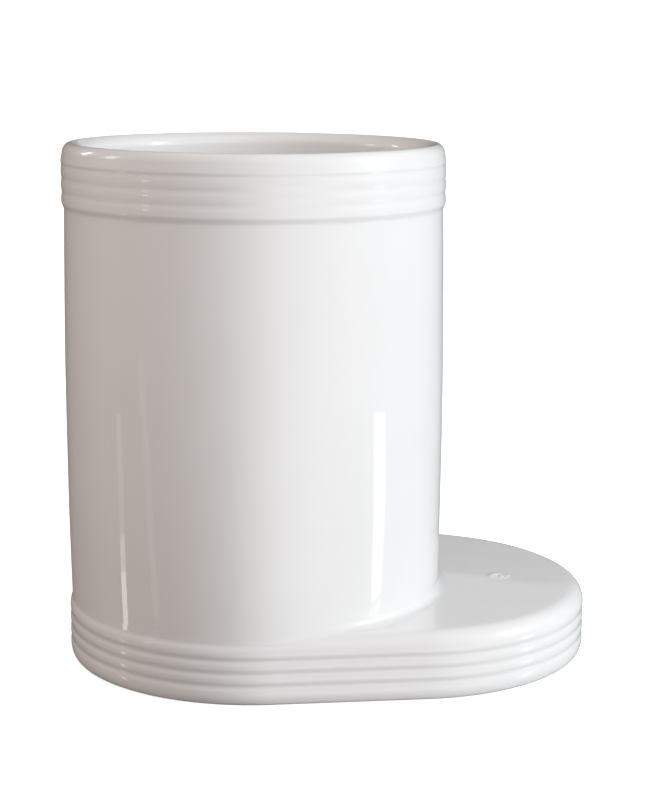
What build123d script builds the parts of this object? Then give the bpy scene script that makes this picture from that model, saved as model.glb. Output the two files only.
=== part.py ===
from build123d import *
import math
import os

os.makedirs("parts", exist_ok=True)

# Glazed holder: a round cup luted on the end of an oblong base, so that the base leaves a ledge
# on the +X side. Millimetres, +Z up, the base stands on z = 0 and is centred on the origin.

# ---- driving dimensions ----
round_radius = 60.0        # crests of the beads, on the cup's rim band and round the base
end_spacing = 47.7         # distance between the centres of the base's two round ends
deck_height = 21.0         # top of the base, where the cup stands
total_height = 163.2       # crest of the cup's lip

deck_thickness = 5.5
side_thickness = 6.0       # from the crest of a bead to the inside of the base
deck_edge_round = 5.2
foot_edge_width = 1.6        # the lowest bead turns in to the foot over this width
foot_edge_height = 3.6
inner_corner_round = 3.0

base_bead_pitch = 4.0
lowest_base_groove = 5.8
base_groove_count = 3
base_groove_depth = 0.40

cup_foot_radius = 59.3
cup_belly_radius = 59.95
cup_shoulder_radius = 59.25
cup_belly_height = 85.0
cup_bore_radius = 53.3

rim_band_bottom = 144.0
rim_bead_pitch = 4.2
rim_bead_count = 4
rim_groove_depth = 0.32
lip_outer_radius = 59.2
lip_crest_radius = 57.0
lip_side_round = 2.0
lip_inner_drop = 2.6       # height over which the lip rolls down into the bore

outer_coil_radius = 3.0
inner_coil_height = 2.9    # the inner coil keys into a bevel on the inside of the cup's foot
inner_coil_width = 3.0
foot_bevel_height = 3.4
foot_bevel_width = 1.7

slab_recess = 2.0          # the closing slab sits this far up inside the foot
slab_thickness = 5.0
slab_gap = 0.8
seam_bead = 1.6

vent_radius = 3.0          # air hole through the deck, under the ledge, stopped from above
vent_head_radius = 3.9
vent_head_height = 0.55
vent_dimple_radius = 1.5
vent_x, vent_y = 56.2, -2.5
far_dimple_radius = 0.9

cup_x = -end_spacing / 2
ledge_x = end_spacing / 2


# ---- helpers ----
def wave(radius, z_from, pitch, count, depth):
    """A rising row of soft beads in the r-z half plane: for each bead half a groove, the crest,
    half a groove, all as tangent arcs. Starts and ends at the bottom of a groove."""
    groove_share = 0.3
    turn = 2 * math.atan(depth / (pitch / 2))
    big = (1 - groove_share) * pitch / 2 / math.sin(turn)
    small = groove_share * pitch / 2 / math.sin(turn)
    edges = []
    for i in range(count):
        low = z_from + i * pitch
        middle, high = low + pitch / 2, low + pitch
        join = groove_share * pitch / 2
        small_rise = small * (1 - math.cos(turn))
        small_mid = small * (1 - math.cos(turn / 2))
        small_half = small * math.sin(turn / 2)
        floor_r = radius - depth
        edges.append(ThreePointArc((floor_r, low), (floor_r + small_mid, low + small_half),
                                   (floor_r + small_rise, low + join)))
        edges.append(ThreePointArc((floor_r + small_rise, low + join), (radius, middle),
                                   (floor_r + small_rise, high - join)))
        edges.append(ThreePointArc((floor_r + small_rise, high - join),
                                   (floor_r + small_mid, high - small_half), (floor_r, high)))
    return edges


def half_plane_face(edges):
    """A face in the XZ plane from edges drawn as (r, z) pairs in the XY plane."""
    return Face(Wire(edges)).rotate(Axis.X, 90)


def spin(face, x, start=0, arc=360):
    """Turn an (r, z) face about a vertical axis standing at x."""
    solid = revolve(face, Axis.Z, arc)
    return Pos(x, 0, 0) * (Rot(0, 0, start) * solid)


def oblong(face):
    """Carry an (r, z) face round a stadium: half a turn at each end, straight in between."""
    half_left = spin(face, cup_x, 90, 180)
    half_right = spin(face, ledge_x, -90, 180)
    across = face + face.mirror(Plane.YZ)
    straight = Pos(cup_x, 0, 0) * extrude(Rot(0, 0, 90) * across, end_spacing, dir=(1, 0, 0))
    return half_left + straight + half_right


def stadium_plate(radius, bottom, top):
    outline = SlotCenterToCenter(end_spacing, 2 * radius)
    return Pos(0, 0, bottom) * extrude(outline, top - bottom)


def one_solid(shape):
    """The single solid of a boolean's result."""
    pieces = shape.solids()
    assert len(pieces) == 1, len(pieces)
    return pieces[0]


# ---- base: deck and beaded side wall in one shell, open below ----
R = round_radius
deck_round_r = R - deck_edge_round
top_crest = deck_height - deck_edge_round
first_groove = lowest_base_groove
last_groove = lowest_base_groove + (base_groove_count - 1) * base_bead_pitch
foot_r = R - foot_edge_width
half = math.sqrt(0.5)

side_beads = wave(R, first_groove, base_bead_pitch, base_groove_count - 1, base_groove_depth)
above = wave(R, last_groove, base_bead_pitch, 1, base_groove_depth)[:1]
below = wave(R, first_groove - base_bead_pitch, base_bead_pitch, 1, base_groove_depth)[2:]
upper_join = above[0] @ 1
lower_join = below[0] @ 0
crest_low = first_groove - base_bead_pitch / 2
crest_high = last_groove + base_bead_pitch / 2


def crest_arc(groove_end, crest_z):
    """The half bead from a groove's edge to its crest."""
    rise = abs(crest_z - groove_end.Y)
    sink = R - groove_end.X
    bend = (rise * rise + sink * sink) / (2 * sink)
    mid_z = (groove_end.Y + crest_z) / 2
    mid_r = R - bend + math.sqrt(bend ** 2 - (mid_z - crest_z) ** 2)
    return ThreePointArc((groove_end.X, groove_end.Y), (mid_r, mid_z), (R, crest_z))


base_outline = [
    Line((0, 0), (foot_r, 0)),
    EllipticalCenterArc((foot_r, foot_edge_height), foot_edge_width, foot_edge_height,
                        start_angle=-90, arc_size=90),
    Line((R, foot_edge_height), (R, crest_low)),
    crest_arc(lower_join, crest_low),
    *below,
    *side_beads,
    *above,
    crest_arc(upper_join, crest_high),
    ThreePointArc((R, top_crest),
                  (deck_round_r + deck_edge_round * half, top_crest + deck_edge_round * half),
                  (deck_round_r, deck_height)),
    Line((deck_round_r, deck_height), (0, deck_height)),
    Line((0, deck_height), (0, 0)),
]
if abs(crest_high - top_crest) > 1e-6:
    base_outline.append(Line((R, crest_high), (R, top_crest)))
base_block = oblong(half_plane_face(base_outline))

inside_r = R - side_thickness
hollow = stadium_plate(inside_r, -1, deck_height - deck_thickness)
hollow = fillet(hollow.edges().group_by(Axis.Z)[-1], inner_corner_round)
vent_hole = Pos(vent_x, vent_y, 0) * Cylinder(vent_radius, 2 * deck_height)
base_shell = one_solid(base_block - hollow - vent_hole)

# ---- closing slab inside the foot, and the slip that seals it in ----
slab_top = slab_recess + slab_thickness
slab_r = inside_r - slab_gap
bottom_slab = one_solid(stadium_plate(slab_r, slab_recess, slab_top))

seam_ring = stadium_plate(inside_r, slab_recess, slab_top) - stadium_plate(slab_r, 0, slab_top + 1)
seam_low = slab_recess - seam_bead
corner = half_plane_face([
    Line((inside_r - seam_bead, slab_recess), (inside_r, slab_recess)),
    Line((inside_r, slab_recess), (inside_r, seam_low)),
    ThreePointArc((inside_r, seam_low),
                  (inside_r - seam_bead * (1 - half), slab_recess - seam_bead * (1 - half)),
                  (inside_r - seam_bead, slab_recess)),
])
slab_slip_seam = one_solid(seam_ring + oblong(corner))

# ---- cup: bottomless wall, slightly barrelled, with a beaded band and a rolled lip ----
band_floor_r = R - rim_groove_depth
shoulder_z = rim_band_bottom - 0.5
lip_join = total_height - lip_side_round
bevel_r = cup_bore_radius + foot_bevel_width
bore_start = deck_height + foot_bevel_height
cup_outline = [
    Line((cup_bore_radius, bore_start), (bevel_r, deck_height)),
    Line((bevel_r, deck_height), (cup_foot_radius, deck_height)),
    ThreePointArc((cup_foot_radius, deck_height), (cup_belly_radius, cup_belly_height),
                  (cup_shoulder_radius, shoulder_z)),
    Line((cup_shoulder_radius, shoulder_z), (band_floor_r, rim_band_bottom)),
    *wave(R, rim_band_bottom, rim_bead_pitch, rim_bead_count, rim_groove_depth),
]
neck = cup_outline[-1] @ 1
cup_outline += [
    Spline([(neck.X, neck.Y), (lip_outer_radius, lip_join),
            (lip_crest_radius, total_height)],
           tangents=[(-0.25, 1), (-1, 0)]),
    Spline([(lip_crest_radius, total_height),
            (cup_bore_radius, total_height - lip_inner_drop)],
           tangents=[(-1, 0), (0, -1)]),
    Line((cup_bore_radius, total_height - lip_inner_drop), (cup_bore_radius, bore_start)),
]
cup_wall = one_solid(spin(half_plane_face(cup_outline), cup_x))

# ---- luting coils that join the cup's foot to the deck, outside and inside ----
coil_top = deck_height + 20
cup_plug = Pos(cup_x, 0, deck_height / 2) * Cylinder(cup_foot_radius, coil_top - deck_height / 2,
                                                      align=(Align.CENTER, Align.CENTER, Align.MIN))
joined = one_solid(base_block + cup_plug)


def on_foot(edge):
    """True for the edges where the cup's outside meets the deck or the deck's rounding."""
    if edge.length < 1:
        return False
    spots = [edge @ 0, edge @ 0.5, edge @ 1]
    reach = [math.hypot(p.X - cup_x, p.Y) for p in spots]
    heights = [p.Z for p in spots]
    on_circle = all(abs(d - cup_foot_radius) < 0.05 for d in reach)
    return on_circle and all(deck_height - deck_edge_round < z <= deck_height + 0.05 for z in heights)


foot_edges = [edge for edge in joined.edges() if on_foot(edge)]
coiled = fillet(foot_edges, outer_coil_radius)
slice_below = Pos(0, 0, deck_height - deck_edge_round) * Box(
    400, 400, coil_top, align=(Align.CENTER, Align.CENTER, Align.MIN))
over_deck = Pos(cup_x, 0, deck_height) * Cylinder(
    bevel_r, coil_top, align=(Align.CENTER, Align.CENTER, Align.MIN))
cup_core = Pos(cup_x, 0, 0) * Cylinder(deck_round_r, 400) + over_deck
outer_slip_fillet = one_solid((coiled & slice_below) - cup_wall - base_block - cup_core)

coil_key_r = bevel_r - foot_bevel_width * inner_coil_height / foot_bevel_height
coil_toe_r = cup_bore_radius - inner_coil_width
coil_top_z = deck_height + inner_coil_height
inner_face = half_plane_face([
    Line((coil_toe_r, deck_height), (bevel_r, deck_height)),
    Line((bevel_r, deck_height), (coil_key_r, coil_top_z)),
    ThreePointArc((coil_key_r, coil_top_z),
                  (coil_toe_r + (coil_key_r - coil_toe_r) * 0.68,
                   coil_top_z - inner_coil_height * 0.66),
                  (coil_toe_r, deck_height)),
])
inner_slip_fillet = one_solid(spin(inner_face, cup_x))

# ---- stopper of slip in the ledge's air hole, with a low head and two dimples ----
stem = Cylinder(vent_radius, deck_thickness, align=(Align.CENTER, Align.CENTER, Align.MAX))
head_bend = (vent_head_radius ** 2 + vent_head_height ** 2) / (2 * vent_head_height)
cap = Pos(0, 0, vent_head_height - head_bend) * Sphere(head_bend)
cap = cap & Cylinder(vent_head_radius, 4, align=(Align.CENTER, Align.CENTER, Align.MIN))
dimple = Pos(0.3, -0.8, vent_head_height + 0.75) * Sphere(vent_dimple_radius)
far_dimple = Pos(2.5, 0.1, vent_head_height + 0.5) * Sphere(far_dimple_radius)
vent_stopper = one_solid(Pos(vent_x, vent_y, deck_height) * (stem + cap - dimple - far_dimple))

nodes = {
    "cup_wall": cup_wall,
    "base_shell": base_shell,
    "outer_slip_fillet": outer_slip_fillet,
    "inner_slip_fillet": inner_slip_fillet,
    "bottom_slab": bottom_slab,
    "slab_slip_seam": slab_slip_seam,
    "vent_stopper": vent_stopper,
}
for name, shape in nodes.items():
    export_step(shape, f"parts/{name}.step")
    box = shape.bounding_box()
    print(name, len(shape.solids()), round(shape.volume, 1), box.min, box.max)
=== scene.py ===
import math

import bmesh
import bpy
import numpy as np
from mathutils import Matrix, Vector


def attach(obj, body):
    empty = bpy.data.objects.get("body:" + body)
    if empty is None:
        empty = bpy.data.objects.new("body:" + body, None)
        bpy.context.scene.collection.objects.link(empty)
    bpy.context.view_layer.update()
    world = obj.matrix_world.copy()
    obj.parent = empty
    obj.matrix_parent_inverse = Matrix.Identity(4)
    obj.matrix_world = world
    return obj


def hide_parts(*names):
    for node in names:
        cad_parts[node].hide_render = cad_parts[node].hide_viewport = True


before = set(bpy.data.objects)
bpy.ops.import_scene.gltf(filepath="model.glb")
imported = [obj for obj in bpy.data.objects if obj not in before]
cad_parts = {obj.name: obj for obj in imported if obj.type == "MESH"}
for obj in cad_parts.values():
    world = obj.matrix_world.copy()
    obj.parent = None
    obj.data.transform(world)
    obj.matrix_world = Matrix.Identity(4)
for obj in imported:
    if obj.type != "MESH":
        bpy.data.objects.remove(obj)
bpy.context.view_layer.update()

# Cup: the round holder itself, slip cast in white clay with a slightly barrelled wall, a band of
# four soft beads under the rim and a lip rolled over into the bore. Its open foot is luted to the
# deck with slip, and the whole is dipped in clear gloss glaze that rounds every bead.
cup_x = -0.02385
deck_z = 0.0210
crest_radius = 0.0600
bore_radius = 0.0533
foot_radius, belly_radius, shoulder_radius = 0.0593, 0.05995, 0.05925
belly_z, shoulder_z, shoulder_rise = 0.0850, 0.1427, 0.0026
foot_line = 0.00001
band_z, bead_pitch, bead_count, groove_depth = 0.1440, 0.0042, 4, 0.00018
rows_per_bead = 16
lip_z, lip_crest_radius, top_bead_rise = 0.1632, 0.0570, 0.0011
lip_roll_width, lip_roll_height, lip_roll_start = 0.002617, 0.003611, 12.98  # start in degrees
lip_inner_drop, lip_fall_power = 0.0042, 2.6
glaze_settle = 0.00011
cup_columns = 240


def settle_glaze(points, normals, waves=12, shortest=0.020, longest=0.075, firmness=2.4):
    """Pulls each point inwards along its normal by up to glaze_settle, times a slow swell between
    0 and 1: the mean of sine waves of seeded direction, phase and length, softly limited by a
    hyperbolic tangent, as a fired glaze flows thicker and thinner over a finished wall."""
    rng = np.random.default_rng(11)
    direction = rng.normal(size=(waves, 3))
    direction /= np.linalg.norm(direction, axis=1, keepdims=True)
    wave = direction * (2 * math.pi / rng.uniform(shortest, longest, (waves, 1)))
    phase = rng.uniform(0, 2 * math.pi, waves)
    swell = 0.5 + 0.5 * np.tanh(firmness * np.sin(points @ wave.T + phase).mean(axis=-1))
    return points - normals * (glaze_settle * swell)[..., None]


def grid_normals(grid, closed_rows, closed_columns):
    """Unit normals of a grid of points: the cross product of the central differences along its
    rows and its columns, wrapping round where the grid is closed."""
    def slope(axis, closed):
        if closed:
            return np.roll(grid, -1, axis) - np.roll(grid, 1, axis)
        return np.gradient(grid, axis=axis)
    normal = np.cross(slope(1, closed_columns), slope(0, closed_rows))
    return normal / np.maximum(np.linalg.norm(normal, axis=-1, keepdims=True), 1e-12)


def lay_grid(name, grid, closed_rows=True, closed_columns=True, merge=False):
    """Mesh of quads over a grid of points [row, column, xyz]: each quad joins a point to its
    neighbours in the next row and column, with the last joined to the first where the grid is
    closed. Coincident points, as at a pole, are merged on request."""
    rows, columns = grid.shape[:2]
    index = np.arange(rows * columns).reshape(rows, columns)
    down = np.roll(index, -1, 0) if closed_rows else index[1:]
    here = index if closed_rows else index[:-1]
    if closed_columns:
        corners = [here, np.roll(here, -1, 1), np.roll(down, -1, 1), down]
    else:
        corners = [here[:, :-1], here[:, 1:], down[:, 1:], down[:, :-1]]
    quads = np.stack(corners, -1).reshape(-1, 4)
    mesh = bpy.data.meshes.new(name)
    mesh.from_pydata(grid.reshape(-1, 3), [], quads)
    if merge:
        work = bmesh.new()
        work.from_mesh(mesh)
        bmesh.ops.remove_doubles(work, verts=work.verts, dist=1e-6)
        bmesh.ops.recalc_face_normals(work, faces=work.faces)
        work.to_mesh(mesh)
        work.free()
    mesh.polygons.foreach_set("use_smooth", np.ones(len(mesh.polygons), bool))
    mesh.update()
    piece = bpy.data.objects.new(name, mesh)
    bpy.context.collection.objects.link(piece)
    return piece


def turn(profile, centre_x, steps):
    """Carries a profile of (radius, height) rows round a vertical axis at centre_x: each point's
    x and y are its radius times the cosine and sine of the angle."""
    angle = np.linspace(0, 2 * math.pi, steps, endpoint=False)
    radius, height = profile[:, :1], profile[:, 1:]
    x = centre_x + radius * np.cos(angle)
    y = radius * np.sin(angle)
    return np.stack([x, y, np.broadcast_to(height, x.shape)], -1)


def arc(centre, radii, start, end, count):
    """(radius, height) points on an elliptical arc about centre, from one angle in degrees to the
    other, both ends included."""
    angle = np.radians(np.linspace(start, end, count))
    return np.stack([centre[0] + radii[0] * np.cos(angle),
                     centre[1] + radii[1] * np.sin(angle)], -1)


def run(start, end, count):
    """Evenly spaced (radius, height) points on a straight run, without its last point."""
    share = np.linspace(0, 1, count, endpoint=False)[:, None]
    return (1 - share) * np.array(start) + share * np.array(end)


def cup_wall_radius(height):
    """Outside radius of the plain wall: the parabola through the foot, belly and shoulder."""
    return np.polyval(np.polyfit([deck_z, belly_z, shoulder_z],
                                 [foot_radius, belly_radius, shoulder_radius], 2), height)


def bead_row(radius, depth, from_groove, narrowness=1.6):
    """Radius over a row of soft beads, with from_groove the height above a groove in pitches:
    the crest radius less depth times a raised cosine to the power narrowness, which keeps the
    grooves narrower than the beads."""
    return radius - depth * (0.5 + 0.5 * np.cos(2 * math.pi * from_groove)) ** narrowness


# plain wall, with two rows close together at the foot so that its corner stays crisp
wall_heights = np.concatenate([[deck_z, deck_z + foot_line],
                               np.linspace(deck_z + 0.001, shoulder_z, 120)])
wall = np.stack([cup_wall_radius(wall_heights), wall_heights], -1)

# step under the lowest bead: half a cosine wave from the wall out to the bead's crest
under_share = np.linspace(0, 1, 16)[1:]
under_swell = 0.5 - 0.5 * np.cos(math.pi * under_share)
under_bead = np.stack([shoulder_radius + (crest_radius - shoulder_radius) * under_swell,
                       shoulder_z + shoulder_rise * under_share], -1)

# bead band, from the lowest bead's crest to the top groove
band_rows = (bead_count - 1) * rows_per_bead - rows_per_bead // 2 + 1
band_share = np.linspace(0.5, bead_count - 1, band_rows)
band = np.stack([bead_row(crest_radius, groove_depth, band_share),
                 band_z + bead_pitch * band_share], -1)

# top bead and lip: out of the top groove by half a cosine wave, up a straight face, over an
# elliptical roll to the lip's crest, then down into the bore by a power of the share left
top_groove_z = band_z + (bead_count - 1) * bead_pitch
rise_share = np.linspace(0, 1, 9)[1:]
top_rise = np.stack([crest_radius - groove_depth * (0.5 + 0.5 * np.cos(math.pi * rise_share)),
                     top_groove_z + top_bead_rise * rise_share], -1)
lip_roll = arc((lip_crest_radius, lip_z - lip_roll_height), (lip_roll_width, lip_roll_height),
               lip_roll_start, 90, 24)
top_face = run((crest_radius, top_groove_z + top_bead_rise), lip_roll[0], 8)[1:]
fall_share = np.linspace(0, 1, 24)
lip_fall = np.stack([
    bore_radius + (lip_crest_radius - bore_radius) * (1 - fall_share) ** lip_fall_power,
    lip_z - lip_inner_drop * fall_share], -1)
bore = run((bore_radius, lip_z - lip_inner_drop), (bore_radius, deck_z), 60)[1:]
foot = run((bore_radius, deck_z), (foot_radius, deck_z), 4)
cup_profile = np.concatenate([wall, under_bead, band[1:], top_rise, top_face, lip_roll,
                              lip_fall[1:], bore, foot])

cup_grid = turn(cup_profile, cup_x, cup_columns)
cup_normals = grid_normals(cup_grid, True, True)
cup_normals[0] = cup_normals[1]
cup = lay_grid("cup", settle_glaze(cup_grid, cup_normals))


def socket_group(name, inputs, outputs):
    """An empty shader node group with the given float and colour sockets, and its two ends."""
    group = bpy.data.node_groups.new(name, "ShaderNodeTree")
    for label, kind, value in inputs:
        socket = group.interface.new_socket(label, in_out="INPUT", socket_type=kind)
        socket.default_value = value
    for label, kind in outputs:
        group.interface.new_socket(label, in_out="OUTPUT", socket_type=kind)
    return group, group.nodes.new("NodeGroupInput"), group.nodes.new("NodeGroupOutput")


def noise(tree, vector, scale, detail):
    """A noise texture on the given vector; scale is in waves per metre."""
    node = tree.nodes.new("ShaderNodeTexNoise")
    node.inputs["Scale"].default_value = scale
    node.inputs["Detail"].default_value = detail
    tree.links.new(vector, node.inputs["Vector"])
    return node.outputs["Fac"]


# tone over fired clay: slow warm and cool drift with a few fine specks, a skin of fine bumps and
# a slow change of sheen; the four patterns are in waves per metre
drift_scale, speck_scale, skin_scale, sheen_scale = 28, 900, 340, 60
speck_start, speck_full = 0.74, 0.80
ceramic_tone, ends_in, ends_out = socket_group(
    "ceramic tone",
    [("Light", "NodeSocketColor", (0.86, 0.86, 0.85, 1)),
     ("Deep", "NodeSocketColor", (0.8, 0.8, 0.79, 1)),
     ("Drift", "NodeSocketFloat", 0.35), ("Specks", "NodeSocketFloat", 0.2)],
    [("Color", "NodeSocketColor"), ("Skin", "NodeSocketFloat"), ("Sheen", "NodeSocketFloat")])
place = ceramic_tone.nodes.new("ShaderNodeTexCoord").outputs["Object"]
drift = noise(ceramic_tone, place, drift_scale, 3)
speck_noise = noise(ceramic_tone, place, speck_scale, 1)
speck = ceramic_tone.nodes.new("ShaderNodeMapRange")
speck.inputs["From Min"].default_value = speck_start
speck.inputs["From Max"].default_value = speck_full
share = ceramic_tone.nodes.new("ShaderNodeMath")
share.operation = "MULTIPLY"
spots = ceramic_tone.nodes.new("ShaderNodeMath")
spots.operation = "MULTIPLY_ADD"
blend = ceramic_tone.nodes.new("ShaderNodeMix")
blend.data_type = "RGBA"
link = ceramic_tone.links.new
link(speck_noise, speck.inputs["Value"])
link(drift, share.inputs[0])
link(ends_in.outputs["Drift"], share.inputs[1])
link(speck.outputs["Result"], spots.inputs[0])
link(ends_in.outputs["Specks"], spots.inputs[1])
link(share.outputs[0], spots.inputs[2])
link(spots.outputs[0], blend.inputs["Factor"])
link(ends_in.outputs["Light"], blend.inputs["A"])
link(ends_in.outputs["Deep"], blend.inputs["B"])
link(blend.outputs["Result"], ends_out.inputs["Color"])
link(noise(ceramic_tone, place, skin_scale, 2), ends_out.inputs["Skin"])
link(noise(ceramic_tone, place, sheen_scale, 2), ends_out.inputs["Sheen"])


def fired(name, light, deep, drift, specks, roughness, skin_depth, coat):
    """A fired ceramic surface: colour, a roughness that drifts between two values and a skin of
    fine bumps from the ceramic tone group, under a coat of clear glaze if it has one."""
    material = bpy.data.materials.new(name)
    material.use_nodes = True
    tree = material.node_tree
    shader = tree.nodes["Principled BSDF"]
    tone = tree.nodes.new("ShaderNodeGroup")
    tone.node_tree = ceramic_tone
    tone.inputs["Light"].default_value = light
    tone.inputs["Deep"].default_value = deep
    tone.inputs["Drift"].default_value = drift
    tone.inputs["Specks"].default_value = specks
    dull = tree.nodes.new("ShaderNodeMapRange")
    dull.inputs["To Min"].default_value, dull.inputs["To Max"].default_value = roughness
    bump = tree.nodes.new("ShaderNodeBump")
    bump.inputs["Strength"].default_value = 1.0
    bump.inputs["Distance"].default_value = skin_depth
    tree.links.new(tone.outputs["Color"], shader.inputs["Base Color"])
    tree.links.new(tone.outputs["Sheen"], dull.inputs["Value"])
    tree.links.new(dull.outputs["Result"], shader.inputs["Roughness"])
    tree.links.new(tone.outputs["Skin"], bump.inputs["Height"])
    tree.links.new(bump.outputs["Normal"], shader.inputs["Normal"])
    shader.inputs["IOR"].default_value = 1.5
    shader.inputs["Coat Weight"].default_value = coat
    shader.inputs["Coat Roughness"].default_value = 0.02
    shader.inputs["Coat IOR"].default_value = 1.5
    return material


white_glaze = fired("white glaze", light=(0.86, 0.865, 0.86, 1), deep=(0.81, 0.80, 0.785, 1),
                    drift=0.5, specks=0.12, roughness=(0.30, 0.38), skin_depth=0.00002, coat=1.0)
cup.data.materials.append(white_glaze)
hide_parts("cup_wall")
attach(cup, "root")

# Base: an oblong shell cast in one, with a flat deck, a rounded deck edge and four soft beads
# round its side. It stands on a narrow foot ring and is hollow below.
end_x = 0.02385
deck_round, foot_in, foot_up = 0.0052, 0.0016, 0.0036
base_pitch, lowest_groove, base_grooves, base_groove_depth = 0.0040, 0.0058, 3, 0.00027
inside_radius, deck_under_z, inner_round = 0.0540, 0.0155, 0.0030
dry_foot, glaze_fade = 0.001, 0.004


def carry(profile, end_steps, side_steps):
    """Carries a profile of (radius, height) rows round an oblong of half spacing end_x: each
    point is the nearest point of the centre line plus its radius times the outward direction.
    The columns run half a turn round one end, along one side, round the other end and back."""
    half_turn = np.linspace(-90, 90, end_steps, endpoint=False)
    along = np.linspace(0, 1, side_steps, endpoint=False)
    angle = np.radians(np.concatenate([half_turn, np.full(side_steps, 90),
                                       half_turn + 180, np.full(side_steps, 270)]))
    centre = np.concatenate([np.full(end_steps, end_x), end_x * (1 - 2 * along),
                             np.full(end_steps, -end_x), end_x * (2 * along - 1)])
    radius, height = profile[:, :1], profile[:, 1:]
    x = centre + radius * np.cos(angle)
    y = radius * np.sin(angle)
    return np.stack([x, y, np.broadcast_to(height, x.shape)], -1)


crest_low_z = lowest_groove - base_pitch / 2
crest_high_z = lowest_groove + (base_grooves - 0.5) * base_pitch
side_heights = np.linspace(crest_low_z, crest_high_z, base_grooves * rows_per_bead + 1)
from_lowest = (side_heights - lowest_groove) / base_pitch
side = np.stack([bead_row(crest_radius, base_groove_depth, from_lowest), side_heights], -1)
base_profile = np.concatenate([
    arc((crest_radius - foot_in, foot_up), (foot_in, foot_up), -90, 0, 16),
    run((crest_radius, foot_up), (crest_radius, crest_low_z), 2)[1:],
    side,
    arc((crest_radius - deck_round, deck_z - deck_round), (deck_round, deck_round), 0, 90, 14)[1:],
    run((crest_radius - deck_round, deck_z), (0, deck_z), 24)[1:],
    [[0, deck_z]],
])
under_profile = np.concatenate([
    run((0, deck_under_z), (inside_radius - inner_round, deck_under_z), 12),
    arc((inside_radius - inner_round, deck_under_z - inner_round), (inner_round, inner_round),
        90, 0, 8),
    run((inside_radius, deck_under_z - inner_round), (inside_radius, 0), 8)[1:],
    run((inside_radius, 0), (crest_radius - foot_in, 0), 4),
])
base_grid = carry(np.concatenate([under_profile, base_profile]), end_steps=120, side_steps=48)

# the glaze is wiped off the foot, so it settles by nothing there and in full a little higher
base_normals = grid_normals(base_grid, False, True)
above_foot = np.clip((base_grid[..., 2:] - dry_foot) / glaze_fade, 0, 1)
base = lay_grid("base", settle_glaze(base_grid, base_normals * above_foot),
                closed_rows=False, merge=True)
base.data.materials.append(white_glaze)
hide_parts("base_shell")
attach(base, "root")

# Outer luting coil: a soft line of slip smoothed with a wet finger round the outside of the
# cup's foot, then glazed over. It fills the deck's rounding where the cup overhangs it.
coil_radius = 0.0030
coil_toe_drop, coil_toe_in = 0.0004, 0.0003
coil_root_in, coil_root_drop = 0.0028, 0.0002
coil_lock_rise, coil_lock_in = 0.0004, 0.0004


def rolled_coil(steps, arc_steps):
    """Section by section, the hollow side of a ball of coil_radius rolled in the corner between
    the cup and the base. Its centre stands coil_radius off the cup's wall. Over the flat deck it
    is coil_radius high; over the rounded edge its distance to the rounding's centre line is the
    sum of the two radii. Behind the arc each section closes inside the cup and the base, from
    the toe in the deck past the root under the wall to the lock in the wall."""
    angle = np.linspace(0, 2 * math.pi, steps, endpoint=False)
    out = np.stack([np.cos(angle), np.sin(angle), np.zeros(steps)], -1)
    reach = foot_radius + coil_radius
    centre = out * reach + [cup_x, 0, 0]
    spine = np.clip(centre[:, 0], -end_x, end_x)
    away = np.stack([centre[:, 0] - spine, centre[:, 1], np.zeros(steps)], -1)
    distance = np.linalg.norm(away, axis=1, keepdims=True)
    away = away / distance
    beyond = np.clip(distance[:, 0] - (crest_radius - deck_round), 0, None)
    both = coil_radius + deck_round
    rise = np.sqrt(both ** 2 - np.minimum(beyond, both) ** 2)
    centre[:, 2] = deck_z - deck_round + rise
    to_deck = -(away * beyond[:, None] + np.stack([0 * rise, 0 * rise, rise], -1)) / both
    to_wall = -out
    bend = np.arccos(np.clip((to_wall * to_deck).sum(1), -1, 1))[:, None]
    share = np.concatenate([[0, 0.01], np.linspace(0.05, 0.95, arc_steps), [0.99, 1]])
    share = share[:, None, None]
    toward = (np.sin((1 - share) * bend) * to_wall + np.sin(share * bend) * to_deck) / np.sin(bend)
    face = centre + coil_radius * toward
    toe = face[-1] + np.array([0, 0, -coil_toe_drop]) - out * coil_toe_in
    root = out * (foot_radius - coil_root_in) + [cup_x, 0, 0]
    root[:, 2] = toe[:, 2] - coil_root_drop
    inside = root.copy()
    inside[:, 2] = np.maximum(face[0, :, 2], deck_z) + coil_lock_rise
    collar = out * foot_radius + [cup_x, 0, 0]
    collar[:, 2] = np.maximum(face[0, :, 2], deck_z)
    lock = out * (foot_radius - coil_lock_in) + [cup_x, 0, 0]
    lock[:, 2] = inside[:, 2]
    under_collar = collar.copy()
    under_collar[:, 2] = np.maximum(face[0, :, 2], deck_z - foot_line)
    skin = settle_glaze(np.concatenate([collar[None], under_collar[None], face]),
                        np.concatenate([out[None], out[None], -toward]))
    return np.concatenate([skin, toe[None], root[None], inside[None], lock[None]])


coil = lay_grid("outer_coil", rolled_coil(steps=360, arc_steps=12)[::-1])
coil.data.materials.append(white_glaze)
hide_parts("outer_slip_fillet")
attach(coil, "root")

# Inner luting coil: the same slip pressed into the bevelled corner inside the cup, where the
# wall meets the deck that is its floor.
inner_height, inner_width, bevel_width, bevel_lap = 0.0029, 0.0030, 0.0017, 0.0006
inner_skin, side_skin, deck_sink = 0.0002, 0.0001, 0.0003
toe_radius = bore_radius - inner_width
inner_face = arc((toe_radius, deck_z + inner_height + inner_skin),
                 (inner_width + side_skin, inner_height + inner_skin), 0, -90, 12)
inner_back = np.array([[toe_radius, deck_z - deck_sink],
                       [bore_radius + bevel_width, deck_z - deck_sink],
                       [bore_radius + bevel_lap, deck_z + inner_height]])
inner_profile = np.concatenate([inner_face, inner_back])[::-1]
inner_coil = lay_grid("inner_coil", turn(inner_profile, cup_x, cup_columns))
inner_coil.data.materials.append(white_glaze)
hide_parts("inner_slip_fillet")
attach(inner_coil, "root")

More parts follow.
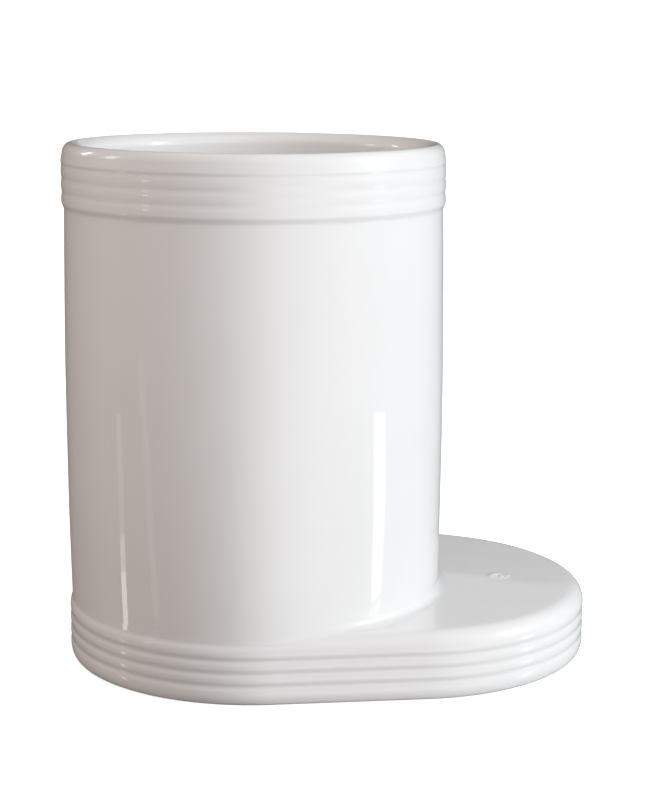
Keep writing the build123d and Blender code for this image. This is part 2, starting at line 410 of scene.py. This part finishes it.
# Vent stopper: the air hole that let the closed hollow base breathe in the kiln, stopped with a
# plug of slip and glazed over. It leaves a low mound on the ledge with two small dabs beside it.
vent_x, vent_y = 0.0562, -0.0025
vent_radius, vent_end_drop = 0.0030, 0.0055
head_radius, head_height, head_edge = 0.0039, 0.00045, 0.0020
head_lean, head_shift, head_slope = (0.8, -0.6), 0.0010, 0.0014
near_dab_height, near_dab_place, near_dab_size = 0.00030, (0.0009, -0.0008), 0.0007
far_dab_height, far_dab_place, far_dab_size = 0.00026, (0.0032, 0.0), 0.0006
head_sink, shoulder_drop = 0.00003, 0.0003


def vent_head(rings, steps):
    """A low mound that is high at its back left and falls away to the front right, as a
    hyperbolic tangent across it, with an edge rounded by a smooth step and two small bell-shaped
    dabs on its right, over circles of growing radius. The plug's side and end follow."""
    radius = np.linspace(0, head_radius, rings)[:, None]
    angle = np.linspace(0, 2 * math.pi, steps, endpoint=False)[None]
    x, y = radius * np.cos(angle), radius * np.sin(angle)

    def dab(height, place, size):
        return height * np.exp(-((x - place[0]) ** 2 + (y - place[1]) ** 2) / size ** 2)

    inward = np.clip((head_radius - radius) / head_edge, 0, 1)
    edge = inward ** 2 * (3 - 2 * inward)
    across = head_lean[0] * x + head_lean[1] * y + head_shift
    mound = edge * head_height * (0.5 - 0.5 * np.tanh(across / head_slope))
    near_dab = dab(near_dab_height, near_dab_place, near_dab_size)
    far_dab = dab(far_dab_height, far_dab_place, far_dab_size)
    rim = radius > head_radius * 0.99
    top = np.stack([x, y, mound + near_dab + far_dab - head_sink * rim], -1)
    ring = np.stack([np.cos(angle[0]), np.sin(angle[0]), 0 * angle[0]], -1)
    shoulder = ring * head_radius - [0, 0, shoulder_drop]
    neck = ring * vent_radius - [0, 0, shoulder_drop]
    end = ring * vent_radius - [0, 0, vent_end_drop]
    tip = ring * 0 - [0, 0, vent_end_drop]
    rows = np.concatenate([top, shoulder[None], neck[None], end[None], tip[None]])
    return rows + [vent_x, vent_y, deck_z]


vent = lay_grid("vent_stopper_head", vent_head(rings=24, steps=64), closed_rows=False, merge=True)
vent.data.materials.append(white_glaze)
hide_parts("vent_stopper")
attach(vent, "root")

# Closing slab: a plain slab of the same clay let into the foot from below and left unglazed, so
# that the holder can stand in the kiln.
slab_recess, slab_top, slab_radius, slab_edge = 0.0020, 0.0070, 0.0532, 0.0003
bare_clay = fired("bare clay", light=(0.80, 0.76, 0.69, 1), deep=(0.68, 0.63, 0.56, 1),
                  drift=0.9, specks=0.8, roughness=(0.72, 0.9), skin_depth=0.00012, coat=0.0)
slab_profile = np.concatenate([
    run((0, slab_recess), (slab_radius - slab_edge, slab_recess), 20),
    arc((slab_radius - slab_edge, slab_recess + slab_edge), (slab_edge, slab_edge), -90, 0, 4),
    run((slab_radius, slab_recess + slab_edge), (slab_radius, slab_top), 4)[1:],
    run((slab_radius, slab_top), (0, slab_top), 12),
    [[0, slab_top]],
])
slab = lay_grid("closing_slab", carry(slab_profile, end_steps=90, side_steps=36),
                closed_rows=False, merge=True)
slab.data.materials.append(bare_clay)
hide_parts("bottom_slab")
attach(slab, "root")

# Slip seam: slip run into the gap round the closing slab and wiped hollow with a finger.
seam_bead, seam_lap = 0.0016, 0.0008
seam_hollow = arc((inside_radius - seam_bead, slab_recess - seam_bead), (seam_bead, seam_bead),
                  90, 0, 10)
seam_back = [[slab_radius - seam_lap, slab_recess], [slab_radius, slab_top],
             [inside_radius, slab_top]]
seam_profile = np.concatenate([seam_hollow[::-1], seam_back])[::-1]
seam = lay_grid("slab_seam", carry(seam_profile, end_steps=90, side_steps=36))
seam.data.materials.append(bare_clay)
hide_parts("slab_slip_seam")
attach(seam, "root")

# Floor: a wide sheet of white paper under the holder, lit until it is plain white to the camera.
# What it gives back to the holder is dimmer, with a painted shadow beside its left end, so that
# the holder's low left side keeps its shade.
floor_half = 6.0
floor_glow = 0.62
# painted shadow on the floor, seen only by the holder: dark near a spot left of it, fading to pale
# paper further off
painted_shadow_spot, painted_shadow_reach, pale_reach = (-0.15, -0.06, 0), 0.05, 0.26
painted_shadow_paper, pale_paper = (0.04, 0.035, 0.035, 1), (0.46, 0.45, 0.44, 1)
floor = lay_grid("floor", np.array([[[-floor_half, -floor_half, 0], [floor_half, -floor_half, 0]],
                                    [[-floor_half, floor_half, 0], [floor_half, floor_half, 0]]]),
                 closed_rows=False, closed_columns=False)
paper = bpy.data.materials.new("pale paper")
paper.use_nodes = True
paper_tree = paper.node_tree
paper_tree.nodes.clear()
paper_light = paper_tree.nodes.new("ShaderNodeEmission")
paper_light.inputs["Color"].default_value = (1, 1, 1, 1)
paper_light.inputs["Strength"].default_value = floor_glow
paper_matt = paper_tree.nodes.new("ShaderNodeBsdfDiffuse")
paper_matt.inputs["Color"].default_value = (0.9, 0.9, 0.9, 1)

# what the floor gives back to the holder: a painted shadow of the holder beside its left end,
# fading to pale paper further off
paper_with_painted_shadow = paper_tree.nodes.new("ShaderNodeBsdfDiffuse")
paper_place = paper_tree.nodes.new("ShaderNodeTexCoord")
paper_reach = paper_tree.nodes.new("ShaderNodeVectorMath")
paper_reach.operation = "DISTANCE"
paper_reach.inputs[1].default_value = painted_shadow_spot
painted_shadow_fade = paper_tree.nodes.new("ShaderNodeMapRange")
painted_shadow_fade.inputs["From Min"].default_value = painted_shadow_reach
painted_shadow_fade.inputs["From Max"].default_value = pale_reach
paper_tone = paper_tree.nodes.new("ShaderNodeMix")
paper_tone.data_type = "RGBA"
paper_tone.inputs["A"].default_value = painted_shadow_paper
paper_tone.inputs["B"].default_value = pale_paper
paper_tree.links.new(paper_place.outputs["Object"], paper_reach.inputs[0])
paper_tree.links.new(paper_reach.outputs["Value"], painted_shadow_fade.inputs["Value"])
paper_tree.links.new(painted_shadow_fade.outputs["Result"], paper_tone.inputs["Factor"])
paper_tree.links.new(paper_tone.outputs["Result"], paper_with_painted_shadow.inputs["Color"])

paper_sum = paper_tree.nodes.new("ShaderNodeAddShader")
paper_mix = paper_tree.nodes.new("ShaderNodeMixShader")
paper_rays = paper_tree.nodes.new("ShaderNodeLightPath")
paper_end = paper_tree.nodes.new("ShaderNodeOutputMaterial")
paper_tree.links.new(paper_light.outputs[0], paper_sum.inputs[0])
paper_tree.links.new(paper_matt.outputs[0], paper_sum.inputs[1])
paper_tree.links.new(paper_rays.outputs["Is Camera Ray"], paper_mix.inputs["Fac"])
paper_tree.links.new(paper_with_painted_shadow.outputs[0], paper_mix.inputs[1])
paper_tree.links.new(paper_sum.outputs[0], paper_mix.inputs[2])
paper_tree.links.new(paper_mix.outputs[0], paper_end.inputs["Surface"])
floor.data.materials.append(paper)
floor.visible_glossy = False

# Studio: a dim warm room with one broad cool window on the right. Matt surfaces see an even warm
# room; the glaze mirrors a darker room with bright window panes and narrow slots of light.
camera_bearing = math.radians(6.893)
towards_camera = Vector((-math.sin(camera_bearing), -math.cos(camera_bearing), 0))
to_the_right = Vector((math.cos(camera_bearing), -math.sin(camera_bearing), 0))
matt_strength, mirror_strength, backdrop_strength = 1.0, 1.5, 1.02
eye_z, aim_z = 0.10, 0.08
world = bpy.data.worlds.new("studio")
bpy.context.scene.world = world
world.use_nodes = True
sky = world.node_tree
sky.nodes.clear()
sky_link = sky.links.new
look = sky.nodes.new("ShaderNodeTexCoord").outputs["Generated"]


def sky_dot(direction):
    """How far the looked-at direction leans towards the given one, from -1 to 1."""
    node = sky.nodes.new("ShaderNodeVectorMath")
    node.operation = "DOT_PRODUCT"
    node.inputs[1].default_value = direction
    sky_link(look, node.inputs[0])
    return node.outputs["Value"]


def sky_ramp(value, low, high, stops):
    """Colours between stops of (value, colour), for a value between low and high."""
    spread = sky.nodes.new("ShaderNodeMapRange")
    spread.inputs["From Min"].default_value = low
    spread.inputs["From Max"].default_value = high
    ramp = sky.nodes.new("ShaderNodeValToRGB")
    marks = ramp.color_ramp.elements
    while len(marks) < len(stops):
        marks.new(0.5)
    for mark, (at, colour) in zip(marks, stops):
        mark.position = (at - low) / (high - low)
        mark.color = (*colour, 1)
    sky_link(value, spread.inputs["Value"])
    sky_link(spread.outputs["Result"], ramp.inputs["Fac"])
    return ramp.outputs["Color"]


def sky_mix(mode, first, second):
    """Two colours multiplied or added, as the mode says."""
    node = sky.nodes.new("ShaderNodeMix")
    node.data_type = "RGBA"
    node.blend_type = mode
    node.inputs["Factor"].default_value = 1
    sky_link(first, node.inputs["A"])
    sky_link(second, node.inputs["B"])
    return node.outputs["Result"]


def warm(level, tint=0.22):
    """A grey of the given level with more red and less blue."""
    return (level * (1 + tint), level, level * (1 - tint * 0.5))


def cool(level):
    """A grey of the given level with a trace more blue."""
    return (level * 0.98, level, level * 1.03)


def grey(level):
    """A plain grey of the given level."""
    return (level, level, level)


bearing = sky.nodes.new("ShaderNodeMath")
bearing.operation = "ARCTAN2"
sky_link(sky_dot(to_the_right), bearing.inputs[0])
sky_link(sky_dot(towards_camera), bearing.inputs[1])
in_degrees = sky.nodes.new("ShaderNodeMath")
in_degrees.operation = "MULTIPLY"
in_degrees.inputs[1].default_value = 180 / math.pi
sky_link(bearing.outputs[0], in_degrees.inputs[0])
height = sky_dot((0, 0, 1))

# room in the glaze: colours round the holder, by degrees right of the camera's side, times a
# level by height, from straight down at -1 to straight up at 1
round_room = sky_ramp(in_degrees.outputs[0], -180, 180, [
    (-180, cool(0.22)), (-165, warm(0.22)), (-124, warm(0.34)), (-95, warm(0.62)),
    (-66, warm(0.45)), (-48, warm(0.14)), (-30, warm(0.09)), (-14, warm(0.20)), (2, cool(0.74)),
    (18, cool(1.45)), (40, cool(1.55)), (78, cool(1.15)), (120, cool(0.85)), (150, cool(0.60)),
    (180, cool(0.22))])
up_room = sky_ramp(height, -1, 1, [
    (-1, grey(0.5)), (-0.25, grey(0.60)), (0.0, grey(0.55)), (0.22, grey(0.42)),
    (0.40, grey(0.45)), (1, grey(0.25))])

# table in the glaze: a glow below the horizon, in front of the holder and to its right
table_round = sky_ramp(in_degrees.outputs[0], -180, 180, [
    (-180, grey(0)), (-14, grey(0)), (2, cool(0.60)), (18, cool(0.85)), (40, cool(0.65)),
    (70, grey(0)), (180, grey(0))])
table_up = sky_ramp(height, -1, 1, [
    (-1, grey(0)), (-0.50, grey(0.1)), (-0.32, grey(1.0)), (-0.12, grey(0.25)), (0, grey(0)),
    (1, grey(0))])
mirrored = sky_mix("ADD", sky_mix("MULTIPLY", round_room, up_room),
                   sky_mix("MULTIPLY", table_round, table_up))
matt_room = sky_ramp(height, -1, 1, [(-1, warm(0.54)), (0.0, warm(0.73)), (1, cool(0.765))])


def background(colour, strength):
    """The world's light in one colour, fixed or worked out by nodes."""
    node = sky.nodes.new("ShaderNodeBackground")
    if isinstance(colour, tuple):
        node.inputs["Color"].default_value = (*colour, 1)
    else:
        sky_link(colour, node.inputs["Color"])
    node.inputs["Strength"].default_value = strength
    return node.outputs[0]


def either(switch, first, second):
    """The first shader where the switch is 0, and the second where it is 1."""
    node = sky.nodes.new("ShaderNodeMixShader")
    sky_link(switch, node.inputs["Fac"])
    sky_link(first, node.inputs[1])
    sky_link(second, node.inputs[2])
    return node.outputs[0]


rays = sky.nodes.new("ShaderNodeLightPath")
sky_end = sky.nodes.new("ShaderNodeOutputWorld")
shaded = either(rays.outputs["Is Glossy Ray"], background(matt_room, matt_strength),
                background(mirrored, mirror_strength))
sky_link(either(rays.outputs["Is Camera Ray"], shaded, background((1, 1, 1), backdrop_strength)),
         sky_end.inputs["Surface"])


def around(bearing_degrees, distance):
    """The floor's point at a distance from the middle of the base, at a bearing to the right of
    the camera's side."""
    angle = math.radians(bearing_degrees)
    return (towards_camera * math.cos(angle) + to_the_right * math.sin(angle)) * distance


def pane(name, bearing_degrees, width, low, high, colour, strength, lean=0, distance=1.2):
    """A bright upright pane seen only in the glaze: a rectangle facing the holder whose width
    and lower and upper edges are in degrees as seen from eye_z above the middle of the base, as
    plain emission. Its lower edge stands lean degrees further round."""
    corners = []
    for edge, swing in ((low, lean), (high, 0)):
        middle = np.array(around(bearing_degrees + swing, distance))
        across = np.cross([0, 0, 1], middle) * math.tan(math.radians(width / 2))
        level = [0, 0, eye_z + distance * math.tan(math.radians(edge))]
        corners.append([middle - across + level, middle + across + level])
    corners = np.array(corners)
    card = lay_grid(name, corners, closed_rows=False, closed_columns=False)
    glow = bpy.data.materials.new(name)
    glow.use_nodes = True
    glow.node_tree.nodes.clear()
    emit = glow.node_tree.nodes.new("ShaderNodeEmission")
    emit.inputs["Color"].default_value = (*colour, 1)
    emit.inputs["Strength"].default_value = strength
    end = glow.node_tree.nodes.new("ShaderNodeOutputMaterial")
    glow.node_tree.links.new(emit.outputs[0], end.inputs["Surface"])
    card.data.materials.append(glow)
    card.visible_camera = card.visible_diffuse = card.visible_shadow = False


# name, bearing, width, lower edge, upper edge, colour, strength and lean of each pane
pane("window pane", 77, 12, 14, 34, (1.0, 1.0, 1.0), 7.0)
pane("window in the table", 80.5, 9, -24, -12, (1.0, 1.0, 1.0), 3.4)
pane("lamp pane", -91, 9, 14, 28, (1.0, 0.90, 0.86), 4.0)
pane("back window pane", -118, 6, 14, 28, (0.95, 0.98, 1.0), 5.0)
pane("far lamp", -62, 4, 0, 5, (1.0, 0.97, 0.95), 4.5)
pane("left slot", -84, 4, -17.6, -11.5, (1.0, 0.93, 0.92), 1.3, 0.7)
pane("left slot, middle part", -83.3, 4, -19.4, -17.6, (1.0, 0.93, 0.92), 2.7, 0.2)
pane("left slot, lower part", -83.1, 4, -22.6, -19.4, (1.0, 0.93, 0.92), 4.8, 0.5)
pane("far left slot", -67, 4, -22, -8, (1.0, 0.94, 0.93), 0.9, 7)
pane("far wall", 173, 20, 12.9, 22, (0.97, 1.0, 1.0), 0.42)

light_bearing, light_distance, light_rise, light_side = 63, 1.3, math.radians(13), 0.5
light_power, light_colour = 9.6, (0.87, 0.98, 1.06)
window_data = bpy.data.lights.new("window light", "AREA")
window_data.shape = "RECTANGLE"
window_data.size = window_data.size_y = light_side
window_data.energy = light_power
window_data.color = light_colour
window_light = bpy.data.objects.new("window light", window_data)
bpy.context.collection.objects.link(window_light)
window_light.location = (around(light_bearing, light_distance)
                         + Vector((0, 0, eye_z + light_distance * math.tan(light_rise))))
window_aim = window_light.location - Vector((0, 0, aim_z))
window_light.rotation_mode = "QUATERNION"
window_light.rotation_quaternion = window_aim.to_track_quat("Z", "Y")
window_light.visible_glossy = False

# Camera: a short telephoto held a little above the rim, looking down at the holder.
camera_place = Vector((-0.06828, -0.58237, 0.19687))
look_down, roll = math.radians(11.208), math.radians(0.326)
focal_length, sensor_width = 83.578, 36
ahead = -towards_camera * math.cos(look_down) - Vector((0, 0, math.sin(look_down)))
over = to_the_right.cross(ahead)
camera_right = to_the_right * math.cos(roll) + over * math.sin(roll)
camera_up = over * math.cos(roll) - to_the_right * math.sin(roll)
camera_data = bpy.data.cameras.new("camera")
camera_data.lens = focal_length
camera_data.sensor_width = sensor_width
camera_data.clip_start, camera_data.clip_end = 0.01, 50
camera = bpy.data.objects.new("camera", camera_data)
bpy.context.collection.objects.link(camera)
camera.matrix_world = Matrix.Translation(camera_place) @ Matrix(
    (camera_right, camera_up, -ahead)).transposed().to_4x4()
bpy.context.scene.camera = camera
bpy.context.scene.view_settings.view_transform = "Standard"
